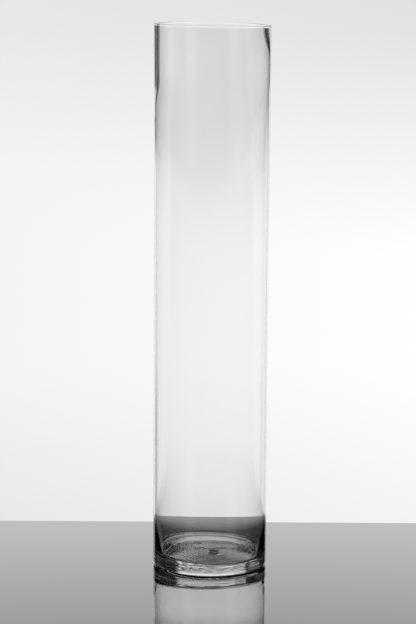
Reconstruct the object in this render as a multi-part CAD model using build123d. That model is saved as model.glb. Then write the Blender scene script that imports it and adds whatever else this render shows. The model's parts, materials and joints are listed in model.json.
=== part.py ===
from build123d import *
import os

# A tall cylinder vase of clear blown glass. A thin wall rises out of a heavy solid base, which has
# a rounded heel, a shallow push-up under it and the pontil mark in the push-up. The wall thickens
# again towards the mouth and ends in a flat lip with softened edges.
# The glass is one continuous piece, so nothing moves. Its sections are separate solids that meet
# face to face, each on a plane where the glass changes from one form to the next.
# Millimetres, +Z up. The origin is the centre of the circle that the vase stands on.

# Outside
HEIGHT = 610.0
OUTSIDE_RADIUS = 64.0
MOUTH_RADIUS = 64.6
FLARE_LENGTH = 120.0

# Wall: thickness where it leaves the base, at the top of the sweep and at the mouth
ROOT_THICKNESS = 5.0
SHOULDER_THICKNESS = 3.0
WALL_THICKNESS = 2.0
LIP_THICKNESS = 6.0
SHOULDER_HEIGHT = 46.0
THIN_FROM = 74.0

# Mouth and lip
MOUTH_BORE_LENGTH = 34.0
TAPER_LENGTH = 60.0
LIP_HEIGHT = 3.0
LIP_ROUND = 0.6

# Base
BASE_HEIGHT = 26.0
FLOOR_HEIGHT = 15.0
FLOOR_FILLET = 4.0
HEEL_RADIUS = 5.0
BEARING_WIDTH = 5.0
PUSH_UP = 3.0

# Pontil mark: a button of glass, a little off the axis, which stays clear of the table
PONTIL_RADIUS = 6.5
PONTIL_OFFSET = 4.5
PONTIL_DROP = 1.5
PONTIL_EDGE = 1.0

# Levels and radii that follow from these
fillet_top = FLOOR_HEIGHT + FLOOR_FILLET
lip_base = HEIGHT - LIP_HEIGHT
bore_bottom = HEIGHT - MOUTH_BORE_LENGTH
taper_bottom = bore_bottom - TAPER_LENGTH
root_inner = OUTSIDE_RADIUS - ROOT_THICKNESS
shoulder_inner = OUTSIDE_RADIUS - SHOULDER_THICKNESS
wall_inner = OUTSIDE_RADIUS - WALL_THICKNESS
mouth_inner = MOUTH_RADIUS - LIP_THICKNESS
root_share = (BASE_HEIGHT - fillet_top) / (SHOULDER_HEIGHT - fillet_top)
base_inner = root_inner + (shoulder_inner - root_inner) * root_share
bearing_outer = OUTSIDE_RADIUS - HEEL_RADIUS
bearing_inner = bearing_outer - BEARING_WIDTH

DOWNWARDS = (0, -1)
OUTWARDS = (1, 0)


def turned(outline):
    """Turn a closed outline, drawn as radius and height, about the vase's axis."""
    return revolve(Plane.XZ * make_face(outline), Axis.Z)


def make_rim_lip():
    """The edge of the mouth: a short parallel ring, flat on top, with both top edges softened."""
    band = LIP_THICKNESS / 2
    section = Pos(mouth_inner + band, lip_base + LIP_HEIGHT / 2) * Rectangle(LIP_THICKNESS, LIP_HEIGHT)
    section = fillet(section.vertices().group_by(Axis.Y)[-1], LIP_ROUND)
    return revolve(Plane.XZ * section, Axis.Z)


def make_cylinder_wall():
    """The drawn wall: thin in the middle, thicker inside at the mouth and where it leaves the base."""
    outside = [
        (OUTSIDE_RADIUS, BASE_HEIGHT),
        (OUTSIDE_RADIUS, HEIGHT - FLARE_LENGTH),
        (MOUTH_RADIUS, lip_base),
    ]
    inside = [
        (mouth_inner, lip_base),
        (mouth_inner, bore_bottom),
        (wall_inner, taper_bottom),
        (wall_inner, THIN_FROM),
        (shoulder_inner, SHOULDER_HEIGHT),
        (base_inner, BASE_HEIGHT),
    ]
    return turned(Polyline(*outside, *inside, close=True))


def make_heavy_base():
    """The solid base: floor and fillet above, rounded heel, bearing ring and push-up below."""
    floor_centre = (0, FLOOR_HEIGHT)
    floor_edge = (root_inner - FLOOR_FILLET, FLOOR_HEIGHT)
    fillet_end = (root_inner, fillet_top)
    inside_top = (base_inner, BASE_HEIGHT)
    outside_top = (OUTSIDE_RADIUS, BASE_HEIGHT)
    heel_top = (OUTSIDE_RADIUS, HEEL_RADIUS)
    bearing_edge = (bearing_outer, 0)
    push_up_edge = (bearing_inner, 0)
    push_up_crown = (0, PUSH_UP)
    outline = [
        Line(floor_centre, floor_edge),
        TangentArc(floor_edge, fillet_end, tangent=OUTWARDS),
        Line(fillet_end, inside_top),
        Line(inside_top, outside_top),
        Line(outside_top, heel_top),
        TangentArc(heel_top, bearing_edge, tangent=DOWNWARDS),
        Line(bearing_edge, push_up_edge),
        TangentArc(push_up_crown, push_up_edge, tangent=OUTWARDS),
        Line(push_up_crown, floor_centre),
    ]
    return turned(outline)


def make_pontil_mark(base):
    """The scar of the pontil rod: a low button whose upper face follows the push-up."""
    level = Pos(PONTIL_OFFSET, 0, PUSH_UP - PONTIL_DROP)
    upright = (Align.CENTER, Align.CENTER, Align.MIN)
    button = level * Cylinder(PONTIL_RADIUS, 2 * PONTIL_DROP, align=upright)
    lower_edge = button.edges().group_by(Axis.Z)[0]
    return fillet(lower_edge, PONTIL_EDGE) - base


heavy_base = make_heavy_base()
nodes = {
    "rim_lip": make_rim_lip(),
    "cylinder_wall": make_cylinder_wall(),
    "heavy_base": heavy_base,
    "pontil_mark": make_pontil_mark(heavy_base),
}

os.makedirs("parts", exist_ok=True)
for name, solid in nodes.items():
    export_step(solid, f"parts/{name}.step")
    print(f"{name}: {solid.volume / 1000:.1f} cm3, {len(solid.solids())} solid")
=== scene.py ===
import json
import math

import bpy
import numpy as np
from mathutils import Euler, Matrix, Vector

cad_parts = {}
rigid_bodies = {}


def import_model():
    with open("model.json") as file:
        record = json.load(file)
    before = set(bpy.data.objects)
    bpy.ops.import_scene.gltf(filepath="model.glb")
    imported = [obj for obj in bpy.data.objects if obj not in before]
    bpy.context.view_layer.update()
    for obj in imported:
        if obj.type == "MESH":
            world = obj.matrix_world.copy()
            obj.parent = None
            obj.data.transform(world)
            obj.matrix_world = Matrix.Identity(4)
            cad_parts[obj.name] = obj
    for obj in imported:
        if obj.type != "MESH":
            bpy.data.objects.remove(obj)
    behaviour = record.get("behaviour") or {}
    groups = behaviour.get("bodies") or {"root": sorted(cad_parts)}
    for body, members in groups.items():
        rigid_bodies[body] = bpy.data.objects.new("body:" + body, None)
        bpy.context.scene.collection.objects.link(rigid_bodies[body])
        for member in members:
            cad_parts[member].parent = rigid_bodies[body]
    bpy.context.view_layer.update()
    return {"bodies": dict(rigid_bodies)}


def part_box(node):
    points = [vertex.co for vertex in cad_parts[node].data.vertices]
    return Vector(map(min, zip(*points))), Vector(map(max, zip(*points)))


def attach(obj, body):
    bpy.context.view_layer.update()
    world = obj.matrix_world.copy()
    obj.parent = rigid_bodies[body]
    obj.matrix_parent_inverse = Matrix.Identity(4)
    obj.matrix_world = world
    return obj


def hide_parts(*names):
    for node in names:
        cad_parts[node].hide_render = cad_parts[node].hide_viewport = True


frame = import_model()

# ---------------------------------------------------------------- sizes, in metres
# Heights and outside radii come from the frame's nodes. The rest repeats the design's dimensions,
# with the unevenness of hand-blown glass added.
MM = 0.001
BODY = next(iter(frame["bodies"]))
BASE_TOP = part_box("heavy_base")[1].z
LIP_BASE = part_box("rim_lip")[0].z
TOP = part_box("rim_lip")[1].z
FOOT_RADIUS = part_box("heavy_base")[1].x
MOUTH_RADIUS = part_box("rim_lip")[1].x
PONTIL_LOW, PONTIL_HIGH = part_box("pontil_mark")

# Wall
WALL_THICKNESS = 2.0 * MM
LIP_THICKNESS = 6.0 * MM
LIP_UNEVENNESS = 1.0 * MM
LIP_ROUND = 0.6 * MM
BORE_LENGTH = 30 * MM
BORE_UNEVENNESS = 28 * MM
BORE_STEP = 0.25 * MM
TAPER_LENGTH = 60 * MM
FLARE_LENGTH = 120 * MM
RIM_DROP_RIGHT = 1.9 * MM
RIM_DROP_FRONT = 1.7 * MM

# Base
FLOOR_HEIGHT = 15.0 * MM
FLOOR_RISE_BACK = 0.045
FLOOR_RISE_RIGHT = -0.035
FILLET = 4.4 * MM
FILLET_TOP_ANGLE = 9
ROOT_THICKNESS = 5.5 * MM
ROOT_HEIGHT = 19.0 * MM
SWEEP_LENGTH = 42 * MM
HEEL_RADIUS = 5.6 * MM
BEARING_WIDTH = 2.0 * MM
PUSH_UP = 2.8 * MM
PUSH_UP_POWER = 1.7
PUSH_UP_TILT = 0.030

# Fine unevenness of the base: ripples on the floor and on the push-up, folds on the outside
FLOOR_RIPPLE = 0.008 * MM
PUSH_UP_RIPPLE = 0.045 * MM
FOLD_DEPTH = 0.09 * MM

SEGMENTS = 320
TURNS = np.linspace(0, 2 * math.pi, SEGMENTS, endpoint=False)
COS, SIN = np.cos(TURNS), np.sin(TURNS)


# ---------------------------------------------------------------- the glass surface
def ease(t):
    """0 to 1 with level ends, for t from 0 to 1, and constant outside that."""
    t = np.clip(t, 0.0, 1.0)
    return t * t * (3 - 2 * t)


def outer_radius(z):
    """Outside radius of the wall at height z: straight, with a slight flare at the mouth."""
    return FOOT_RADIUS + (MOUTH_RADIUS - FOOT_RADIUS) * ease(1 - (TOP - z) / FLARE_LENGTH)


def wall_thickness(z):
    """Thickness of the wall at height z, all round: thicker at the root and at the mouth."""
    sweep = np.clip(1 - (z - ROOT_HEIGHT) / SWEEP_LENGTH, 0, 1.2)
    root = (ROOT_THICKNESS - WALL_THICKNESS) * sweep ** 2
    start = BORE_LENGTH - BORE_UNEVENNESS * COS
    length = TAPER_LENGTH * (1 + 2 * SIN ** 2)
    share = 1 - ease((TOP - z - start) / length)
    around = np.degrees(TURNS)
    step = BORE_STEP * ease((around - 182) / 8) * ease((310 - around) / 60)
    lip = LIP_THICKNESS + LIP_UNEVENNESS * COS + step
    return WALL_THICKNESS + root + (lip - WALL_THICKNESS) * share


def inner_radius(z):
    """Inside radius of the wall at height z, all round."""
    return outer_radius(z) - wall_thickness(z)


def sag(z):
    """How far the uneven mouth sits below its design height, at height z and all round."""
    drop = RIM_DROP_RIGHT * (1 + COS) / 2 + RIM_DROP_FRONT * (1 - SIN) / 2
    return drop * ease((z - TOP + FLARE_LENGTH) / FLARE_LENGTH)


def floor_plane(radius):
    """Height of the floor inside at a radius, all round. It rises to the back and the left."""
    return FLOOR_HEIGHT + FLOOR_RISE_BACK * radius * SIN + FLOOR_RISE_RIGHT * radius * COS


def ripple(radius, shift, spread):
    """Uneven rings left where the thick glass set, at a radius and all round."""
    r = radius / MM
    wander = 1.6 * np.sin(2 * TURNS + shift) + 0.9 * np.sin(3 * TURNS + 2 * shift)
    wander = wander + 0.5 * np.sin(7 * TURNS)
    rings = np.sin((r + wander) * 2 * math.pi / 4.6 + shift)
    twist = 1.2 * np.sin(5 * TURNS + shift)
    fine = np.sin((r + 1.7 * wander) * 2 * math.pi / 3.3 + 2.1 * shift + twist)
    swell = 0.6 + 0.4 * np.sin(3 * TURNS + shift + r / 9)
    return spread * swell * (rings + 0.35 * fine) * ease(r / 5)


def floor_ring(t, edge):
    """One ring of the floor inside, a share t of the way from the axis to its edge."""
    radius = edge * t
    uneven = ripple(radius.mean() + 0 * radius, 0.7, FLOOR_RIPPLE) * ease((1 - t) * 6)
    return radius, floor_plane(radius) + uneven


def inside_of_base():
    """Rings over the floor and its fillet, up to the top of the base."""
    lean = math.radians(FILLET_TOP_ANGLE)
    rim = floor_plane(FOOT_RADIUS - ROOT_THICKNESS - FILLET)
    start = rim + FILLET * (1 - math.sin(lean))
    edge = inner_radius(start) - FILLET * math.cos(lean)
    rings = [floor_ring(t, edge) for t in np.linspace(0, 1, 80)[1:]]
    for angle in np.linspace(-90, -FILLET_TOP_ANGLE, 16)[1:]:
        a = math.radians(angle)
        rings.append((edge + FILLET * math.cos(a), rim + FILLET * (1 + math.sin(a))))
    for t in np.linspace(0, 1, 8)[1:]:
        z = start + (BASE_TOP - start) * t
        rings.append((inner_radius(z), z))
    return rings


def fold_depth(z):
    """Depth of the level folds where the outside of the base first set, at height z, all round."""
    h = z / MM
    wander = 0.7 * np.sin(2 * TURNS + 0.4) + 0.5 * np.sin(5 * TURNS + 1.3)
    wander = wander + 0.3 * np.sin(11 * TURNS)
    folds = np.sin((h + wander) * 2 * math.pi / 4.3)
    folds = folds + 0.5 * np.sin((h - 1.4 * wander) * 2 * math.pi / 2.3 + 1)
    return FOLD_DEPTH * (1.5 + folds) * ease((h - 5) / 3) * ease((17 - h) / 5)


def outside_of_base():
    """Rings from the top of the base down round the heel, the bearing ring and the push-up."""
    heights = np.linspace(BASE_TOP, HEEL_RADIUS, 50)
    rings = [(FOOT_RADIUS - fold_depth(z), z + 0 * COS) for z in heights]
    for angle in np.linspace(0, -90, 14)[1:]:
        a = math.radians(angle)
        r = FOOT_RADIUS - HEEL_RADIUS * (1 - math.cos(a))
        rings.append((r + 0 * COS, HEEL_RADIUS * (1 + math.sin(a)) + 0 * COS))
    edge = FOOT_RADIUS - HEEL_RADIUS - BEARING_WIDTH
    for t in np.linspace(1, 0, 80)[:-1]:
        r = edge * t
        z = PUSH_UP * (1 - t ** PUSH_UP_POWER) + PUSH_UP_TILT * r * SIN * (1 - t * t)
        z += ripple(r + 0 * COS, 2.4, PUSH_UP_RIPPLE) * ease((1 - t) * 16)
        rings.append((r + 0 * COS, np.maximum(z, 0)))
    return rings


def wall_heights():
    """Heights of the wall's rings, closer together where its thickness changes."""
    low = np.linspace(BASE_TOP, BASE_TOP + 70 * MM, 16)
    high = np.linspace(TOP - 230 * MM, LIP_BASE, 60)
    middle = np.linspace(low[-1], high[0], 30)
    return np.concatenate([low, middle[1:-1], high])


def wall_ring(z, radius):
    """One ring of the wall at height z, let down with the uneven mouth."""
    return radius + 0 * COS, z - sag(z)


def lip_rings():
    """Rings over the lip, from its inside edge at the seam to its outside edge at the seam."""
    inside = inner_radius(LIP_BASE)
    level = TOP - LIP_ROUND
    rings = [(inside, LIP_BASE), (inside, level)]
    for angle in np.linspace(180, 90, 6)[1:]:
        a = math.radians(angle)
        rings.append((inside + LIP_ROUND * (1 + math.cos(a)), level + LIP_ROUND * math.sin(a)))
    for angle in np.linspace(90, 0, 6):
        a = math.radians(angle)
        rings.append((MOUTH_RADIUS - LIP_ROUND * (1 - math.cos(a)), level + LIP_ROUND * math.sin(a)))
    rings.append((float(outer_radius(LIP_BASE)), LIP_BASE))
    return [(r + 0 * COS, z - sag(z)) for r, z in rings]


def skin(name, rings, seams=(), poles=()):
    """A closed mesh through rings of points. Faces after a ring in seams use the second material.

    With poles, the first and last rings close on points of the axis at those two heights. Without
    them the last ring joins the first.
    """
    count = len(rings)
    points = np.concatenate([np.stack([r * COS, r * SIN, z + 0 * COS], axis=-1) for r, z in rings])
    faces, looks = [], []
    ahead = np.roll(np.arange(SEGMENTS), -1)
    for i in range(count - 1 if poles else count):
        j = (i + 1) % count
        for k, m in enumerate(ahead):
            faces.append((i * SEGMENTS + k, j * SEGMENTS + k, j * SEGMENTS + m, i * SEGMENTS + m))
            looks.append(1 if i in seams else 0)
    if poles:
        first, last = len(points), len(points) + 1
        points = np.vstack([points, [(0, 0, poles[0]), (0, 0, poles[1])]])
        base = (count - 1) * SEGMENTS
        for k, m in enumerate(ahead):
            faces.append((first, k, m))
            faces.append((last, base + m, base + k))
            looks += [0, 0]
    mesh = bpy.data.meshes.new(name)
    mesh.from_pydata(points.tolist(), [], faces)
    mesh.polygons.foreach_set("use_smooth", [look == 0 for look in looks])
    mesh.polygons.foreach_set("material_index", looks)
    crease = {i for seam in seams for i in (seam, (seam + 1) % count)}
    rings_of = [{v // SEGMENTS for v in edge.vertices} for edge in mesh.edges]
    sharp = mesh.attributes.new("sharp_edge", "BOOLEAN", "EDGE")
    sharp.data.foreach_set("value", [len(at) == 1 and at <= crease for at in rings_of])
    mesh.update()
    piece = bpy.data.objects.new(name, mesh)
    bpy.context.scene.collection.objects.link(piece)
    return piece


# ---------------------------------------------------------------- materials
def glass_material(name, streak, strength, bloom_limit):
    """Clear glass with faint vertical or radial streaks and a little surface bloom."""
    material = bpy.data.materials.new(name)
    material.use_nodes = True
    tree = material.node_tree
    shader = tree.nodes["Principled BSDF"]
    shader.inputs["IOR"].default_value = 1.52
    shader.inputs["Transmission Weight"].default_value = 1.0
    coords = tree.nodes.new("ShaderNodeTexCoord")
    stretch = tree.nodes.new("ShaderNodeMapping")
    stretch.inputs["Scale"].default_value = streak
    tree.links.new(coords.outputs["Object"], stretch.inputs["Vector"])
    noise = tree.nodes.new("ShaderNodeTexNoise")
    noise.inputs["Scale"].default_value = 1.0
    noise.inputs["Detail"].default_value = 3.0
    tree.links.new(stretch.outputs["Vector"], noise.inputs["Vector"])
    bump = tree.nodes.new("ShaderNodeBump")
    bump.inputs["Strength"].default_value = 1.0
    bump.inputs["Distance"].default_value = strength
    tree.links.new(noise.outputs["Fac"], bump.inputs["Height"])
    tree.links.new(bump.outputs["Normal"], shader.inputs["Normal"])
    tint = tree.nodes.new("ShaderNodeMix")
    tint.data_type = "RGBA"
    tint.inputs["A"].default_value = (0.985, 0.99, 0.99, 1)
    tint.inputs["B"].default_value = (1, 1, 1, 1)
    tree.links.new(noise.outputs["Fac"], tint.inputs["Factor"])
    tree.links.new(tint.outputs["Result"], shader.inputs["Base Color"])
    bloom = tree.nodes.new("ShaderNodeMapRange")
    bloom.inputs["From Min"].default_value = 0.55
    bloom.inputs["From Max"].default_value = 0.85
    bloom.inputs["To Max"].default_value = bloom_limit
    tree.links.new(noise.outputs["Fac"], bloom.inputs["Value"])
    tree.links.new(bloom.outputs["Result"], shader.inputs["Roughness"])
    return material


def seam_material():
    """The hidden faces where two sections of the one piece of glass meet: nothing is seen there."""
    material = bpy.data.materials.new("seam")
    material.use_nodes = True
    tree = material.node_tree
    tree.nodes.clear()
    out = tree.nodes.new("ShaderNodeOutputMaterial")
    clear = tree.nodes.new("ShaderNodeBsdfTransparent")
    tree.links.new(clear.outputs[0], out.inputs["Surface"])
    return material


def pontil_material():
    """Rough, fire-softened glass, grainy and only a little see-through. Its dark grey colour is
    painted shade, standing in for the dim light the rough scar scatters up from below.
    """
    material = bpy.data.materials.new("pontil_glass")
    material.use_nodes = True
    tree = material.node_tree
    shader = tree.nodes["Principled BSDF"]
    noise = tree.nodes.new("ShaderNodeTexNoise")
    noise.inputs["Scale"].default_value = 900
    noise.inputs["Detail"].default_value = 5
    # Painted shade: these near-black greys stand in for the dim light the scar scatters from below;
    # the grain across them is the scar's own roughness.
    grey = tree.nodes.new("ShaderNodeValToRGB")
    grey.color_ramp.elements[0].color = (0.03, 0.032, 0.032, 1)
    grey.color_ramp.elements[1].color = (0.10, 0.105, 0.105, 1)
    tree.links.new(noise.outputs["Fac"], grey.inputs["Fac"])
    tree.links.new(grey.outputs["Color"], shader.inputs["Base Color"])
    bump = tree.nodes.new("ShaderNodeBump")
    bump.inputs["Distance"].default_value = 0.0004
    tree.links.new(noise.outputs["Fac"], bump.inputs["Height"])
    tree.links.new(bump.outputs["Normal"], shader.inputs["Normal"])
    shader.inputs["Roughness"].default_value = 0.6
    shader.inputs["IOR"].default_value = 1.52
    shader.inputs["Transmission Weight"].default_value = 0.3
    return material


# ---------------------------------------------------------------- pieces
def make_pieces():
    """The base, the wall and the lip, each a closed skin that replaces its CAD node."""
    clear = glass_material("clear_glass", (90, 90, 6), 0.00001, 0.02)
    thick = glass_material("base_glass", (60, 60, 60), 0.000006, 0.004)
    seam = seam_material()

    inside = inside_of_base()
    outside = outside_of_base()
    poles = (float(FLOOR_HEIGHT), float(PUSH_UP))
    base = skin("heavy_base_glass", inside + outside, seams=(len(inside) - 1,), poles=poles)

    heights = wall_heights()
    up = [wall_ring(z, inner_radius(z)) for z in heights]
    down = [wall_ring(z, outer_radius(z)) for z in heights[::-1]]
    seams = (len(up) - 1, 2 * len(up) - 1)
    wall = skin("cylinder_wall_glass", up + down, seams=seams)

    lip_loop = lip_rings()
    lip = skin("rim_lip_glass", lip_loop, seams=(len(lip_loop) - 1,))

    for piece, node, looks, slot in (
        (base, "heavy_base", (thick, seam), "base_glass"),
        (wall, "cylinder_wall", (clear, seam), "clear_glass"),
        (lip, "rim_lip", (clear, seam), "clear_glass"),
    ):
        for look in looks:
            piece.data.materials.append(look)
        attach(piece, BODY)
        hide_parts(node)


def make_pontil():
    """The scar of the pontil rod: a low rough button just under the push-up, off the axis."""
    centre = (PONTIL_LOW + PONTIL_HIGH) / 2
    radius = (PONTIL_HIGH.x - PONTIL_LOW.x) / 2
    rings = []
    levels = [(0.55, 0.0), (0.8, 0.05), (0.93, 0.25), (1.0, 0.6), (0.98, 1.0)]
    shape = 1 + 0.05 * np.sin(2 * TURNS + 1) + 0.04 * np.sin(3 * TURNS) + 0.02 * np.sin(7 * TURNS)
    low = PONTIL_LOW.z
    push_edge = FOOT_RADIUS - HEEL_RADIUS - BEARING_WIDTH
    for share, level in levels:
        r = radius * share * shape * 0.95
        away = np.hypot(centre.x + r * COS, r * SIN)
        roof = PUSH_UP * (1 - (away / push_edge) ** PUSH_UP_POWER) - 0.08 * MM
        rings.append((r, low + (roof - low) * level))
    roof = PUSH_UP * (1 - (centre.x / push_edge) ** PUSH_UP_POWER) - 0.08 * MM
    pontil = skin("pontil_mark_glass", rings[::-1], poles=(roof, low))
    pontil.location.x = centre.x
    pontil.data.materials.append(pontil_material())
    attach(pontil, BODY)
    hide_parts("pontil_mark")


make_pieces()
make_pontil()

# ---------------------------------------------------------------- floor
# Distances from the vase's axis, in metres
TABLE_BACK = 0.191
GLOSSY_REACH = 0.36
MATTE_FROM = 0.60
FLOOR_REACH = 9.0


def range_node(tree, source, start, end, low, high):
    """A smooth change from low to high as the source goes from start to end."""
    node = tree.nodes.new("ShaderNodeMapRange")
    node.interpolation_type = "SMOOTHSTEP"
    for socket, value in (("From Min", start), ("From Max", end), ("To Min", low), ("To Max", high)):
        node.inputs[socket].default_value = value
    tree.links.new(source, node.inputs["Value"])
    return node.outputs["Result"]


def make_table():
    """A level floor with a straight back edge, glossy near the vase and matte further out, made pale
    there by painted light: a white glow that fades with distance from the vase.
    """
    mesh = bpy.data.meshes.new("table_top")
    x, front = FLOOR_REACH, -FLOOR_REACH
    mesh.from_pydata(
        [(-x, front, 0), (x, front, 0), (x, TABLE_BACK, 0), (-x, TABLE_BACK, 0)], [], [(0, 1, 2, 3)]
    )
    table = bpy.data.objects.new("table_top", mesh)
    bpy.context.scene.collection.objects.link(table)
    material = bpy.data.materials.new("table_top")
    material.use_nodes = True
    tree = material.node_tree
    glossy = tree.nodes["Principled BSDF"]
    glossy.inputs["Base Color"].default_value = (0.5, 0.5, 0.5, 1)
    glossy.inputs["Metallic"].default_value = 1.0
    glossy.inputs["Roughness"].default_value = 0.03
    matte = tree.nodes.new("ShaderNodeBsdfPrincipled")
    matte.inputs["Base Color"].default_value = (0.3, 0.3, 0.3, 1)
    matte.inputs["Roughness"].default_value = 0.9
    matte.inputs["Specular IOR Level"].default_value = 0.0
    # Painted light: a white glow on the matte part of the floor.
    matte.inputs["Emission Color"].default_value = (1, 1, 1, 1)
    coords = tree.nodes.new("ShaderNodeTexCoord")
    away = tree.nodes.new("ShaderNodeVectorMath")
    away.operation = "LENGTH"
    tree.links.new(coords.outputs["Object"], away.inputs[0])
    # Painted light: the glow is strongest near the vase and fades further out, standing in for the
    # light that falls on the floor.
    painted_floor_light = range_node(tree, away.outputs["Value"], 1.2, 5.0, 0.42, 0.12)
    tree.links.new(painted_floor_light, matte.inputs["Emission Strength"])
    mix = tree.nodes.new("ShaderNodeMixShader")
    spread = range_node(tree, away.outputs["Value"], GLOSSY_REACH, MATTE_FROM, 0, 1)
    tree.links.new(spread, mix.inputs["Fac"])
    tree.links.new(glossy.outputs[0], mix.inputs[1])
    tree.links.new(matte.outputs[0], mix.inputs[2])
    tree.links.new(mix.outputs[0], tree.nodes["Material Output"].inputs["Surface"])
    mesh.materials.append(material)


make_table()


# ---------------------------------------------------------------- light
# Grey levels of the studio as seen from the vase: (elevation, level) stops for each sector, and
# (azimuth, share) stops for how far round each sector reaches. Azimuth 0 is behind the vase.
PANEL_TOP = [
    (1, 0.79), (4, 0.83), (14, 0.84), (16.5, 0.57), (17.3, 0.49), (18.7, 0.27), (21, 0.09),
    (32, 0.03), (55, 0.45), (90, 0.45),
]
PANEL_LEFT = [(-90, 0.85), (-14, 0.8), (-10, 0.9), (-5, 0.9), (-1, 0.8)]
PANEL_RIGHT = [(-90, 0.85), (-14, 0.9), (-10, 1.0), (-7, 1.0), (-1, 0.75)]
# Dark flags that stand beside the lit panel
FLAG_LEFT = [
    (-90, 0.8), (-17.5, 0.8), (-16, 0.04), (-11, 0.04), (-10, 0.4), (-7, 0.55), (-5, 0.5),
    (-3.8, 0.1), (-2, 0.03), (2, 0.01), (32, 0.01), (55, 0.45), (90, 0.45),
]
FLAG_RIGHT = [
    (-90, 0.8), (-17.5, 0.8), (-16, 0.4), (-13, 0.7), (-7, 0.75), (-4.5, 0.7), (-3.2, 0.1),
    (-2, 0.03), (2, 0.01), (32, 0.01), (55, 0.45), (90, 0.45),
]
# The dim room to the sides and in front
SIDE = [
    (-90, 0.7), (-6, 0.7), (-4.5, 0.4), (-3.5, 0.25), (-1.7, 0.22), (0, 0.2), (3, 0.02),
    (32, 0.01), (55, 0.45), (90, 0.45),
]
FRONT = [
    (-90, 0.8), (-7, 0.8), (-5, 0.3), (-3, 0.15), (-1.7, 0.02), (0, 0.04), (10, 0.2),
    (18, 0.4), (40, 0.5), (90, 0.45),
]
SECTORS = (
    (PANEL_LEFT + PANEL_TOP, [(-31, 0), (-28, 1), (-6, 1), (6, 0)]),
    (PANEL_RIGHT + PANEL_TOP, [(-6, 0), (6, 1), (22, 1), (26, 0)]),
    (FLAG_LEFT, [(-46, 0), (-42, 1), (-31, 1), (-28, 0)]),
    (FLAG_RIGHT, [(22, 0), (26, 1), (42, 1), (46, 0)]),
    (SIDE, [(-150, 0), (-80, 1), (-46, 1), (-42, 0), (42, 0), (46, 1), (80, 1), (150, 0)]),
    (FRONT, [(-150, 1), (-80, 0), (80, 0), (150, 1)]),
)

# Soft windows further round, which light the vase for someone who walks round it
WINDOW_FRONT_RIGHT = [
    (-90, 0.8), (-14, 0.8), (-5, 0.6), (4, 0.6), (14, 0.75), (33, 0.75), (50, 0.5), (90, 0.45),
]
WINDOW_LEFT = [
    (-90, 0.8), (-8, 0.7), (-3, 0.5), (3, 0.5), (9, 0.6), (11, 0.6), (12.5, 0), (90, 0),
]
WINDOW_BACK_LEFT = [(-90, 0), (16.5, 0), (19, 0.45), (34, 0.55), (50, 0.5), (90, 0.45)]
WINDOWS = (
    (WINDOW_FRONT_RIGHT, [(116, 0), (128, 1), (142, 1), (154, 0)]),
    (WINDOW_LEFT, [(-107, 0), (-97, 1), (-83, 1), (-73, 0)]),
    (WINDOW_BACK_LEFT, [(-56, 0), (-52, 1), (-38, 1), (-33, 0)]),
)

# A dark stand far behind the vase: light passes to either side of it, above it and below it
STAND_AROUND = [(-29, 1), (-27.5, 0), (-19.5, 0), (-18.5, 1)]
STAND_UP = [(-4.6, 1), (-4, 0), (3, 0), (4, 1)]


def ramp_node(tree, source, stops, low, high):
    """A ramp of grey levels through (angle, level) stops, fed by an angle in radians."""
    spread = tree.nodes.new("ShaderNodeMapRange")
    spread.inputs["From Min"].default_value = math.radians(low)
    spread.inputs["From Max"].default_value = math.radians(high)
    tree.links.new(source, spread.inputs[0])
    ramp = tree.nodes.new("ShaderNodeValToRGB")
    elements = ramp.color_ramp.elements
    while len(elements) < len(stops):
        elements.new(0.5)
    for element, (angle, level) in zip(elements, sorted(stops)):
        element.position = (angle - low) / (high - low)
        element.color = (level, level, level, 1)
    tree.links.new(spread.outputs[0], ramp.inputs[0])
    return ramp.outputs["Color"]


def vector_node(tree, operation, a, b):
    """One vector operation on two sources."""
    node = tree.nodes.new("ShaderNodeVectorMath")
    node.operation = operation
    tree.links.new(a, node.inputs[0])
    tree.links.new(b, node.inputs[1])
    return node.outputs[0]


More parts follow.
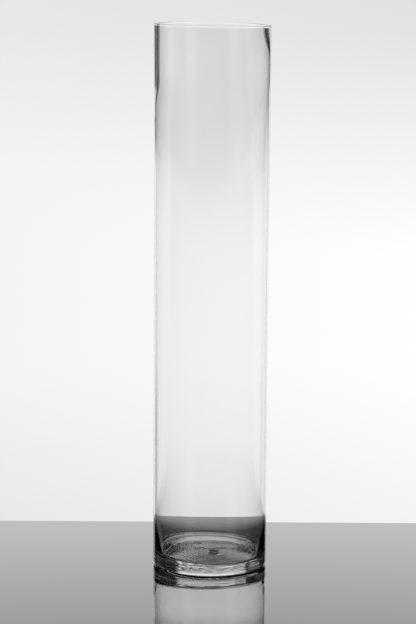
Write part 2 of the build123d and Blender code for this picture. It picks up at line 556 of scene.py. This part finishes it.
def make_world():
    """The studio, as levels of grey by direction: sectors summed, windows added, stand cut out."""
    world = bpy.data.worlds.new("studio")
    bpy.context.scene.world = world
    world.use_nodes = True
    tree = world.node_tree
    tree.nodes.clear()
    out = tree.nodes.new("ShaderNodeOutputWorld")
    background = tree.nodes.new("ShaderNodeBackground")
    coords = tree.nodes.new("ShaderNodeTexCoord")
    split = tree.nodes.new("ShaderNodeSeparateXYZ")
    tree.links.new(coords.outputs["Generated"], split.inputs[0])
    rise = tree.nodes.new("ShaderNodeMath")
    rise.operation = "ARCSINE"
    tree.links.new(split.outputs["Z"], rise.inputs[0])
    turn = tree.nodes.new("ShaderNodeMath")
    turn.operation = "ARCTAN2"
    tree.links.new(split.outputs["X"], turn.inputs[0])
    tree.links.new(split.outputs["Y"], turn.inputs[1])
    total = None
    for levels, shares in SECTORS:
        up = ramp_node(tree, rise.outputs[0], levels, -90, 90)
        around = ramp_node(tree, turn.outputs[0], shares, -180, 180)
        part = vector_node(tree, "MULTIPLY", up, around)
        total = part if total is None else vector_node(tree, "ADD", total, part)
    for levels, shares in WINDOWS:
        up = ramp_node(tree, rise.outputs[0], levels, -90, 90)
        around = ramp_node(tree, turn.outputs[0], shares, -180, 180)
        total = vector_node(tree, "MAXIMUM", total, vector_node(tree, "MULTIPLY", up, around))
    beside = ramp_node(tree, turn.outputs[0], STAND_AROUND, -180, 180)
    beyond = ramp_node(tree, rise.outputs[0], STAND_UP, -90, 90)
    total = vector_node(tree, "MULTIPLY", total, vector_node(tree, "MAXIMUM", beside, beyond))
    tree.links.new(total, background.inputs["Color"])
    tree.links.new(background.outputs[0], out.inputs["Surface"])


make_world()

# ---------------------------------------------------------------- camera
# Lens in millimetres, distances in metres, angles in degrees
LENS = 128.8
DISTANCE = 2.47
CAMERA_HEIGHT = TOP + 0.052
TILT = 8.6
ROLL = 0.34
AIM_LEFT = 0.078


def make_camera():
    """A camera in front of the vase and a little above its mouth, looking slightly down."""
    data = bpy.data.cameras.new("camera")
    camera = bpy.data.objects.new("camera", data)
    bpy.context.scene.collection.objects.link(camera)
    data.lens = LENS
    data.sensor_width = 36
    camera.location = (0, -DISTANCE, CAMERA_HEIGHT)
    look = Euler((math.radians(90 - TILT), 0, math.radians(AIM_LEFT)), "XYZ").to_matrix()
    roll = Euler((0, 0, math.radians(ROLL)), "XYZ").to_matrix()
    camera.rotation_euler = (look @ roll).to_euler()
    data.clip_start = 0.01
    data.clip_end = 50
    bpy.context.scene.camera = camera


make_camera()
bpy.context.scene.view_settings.view_transform = "Standard"
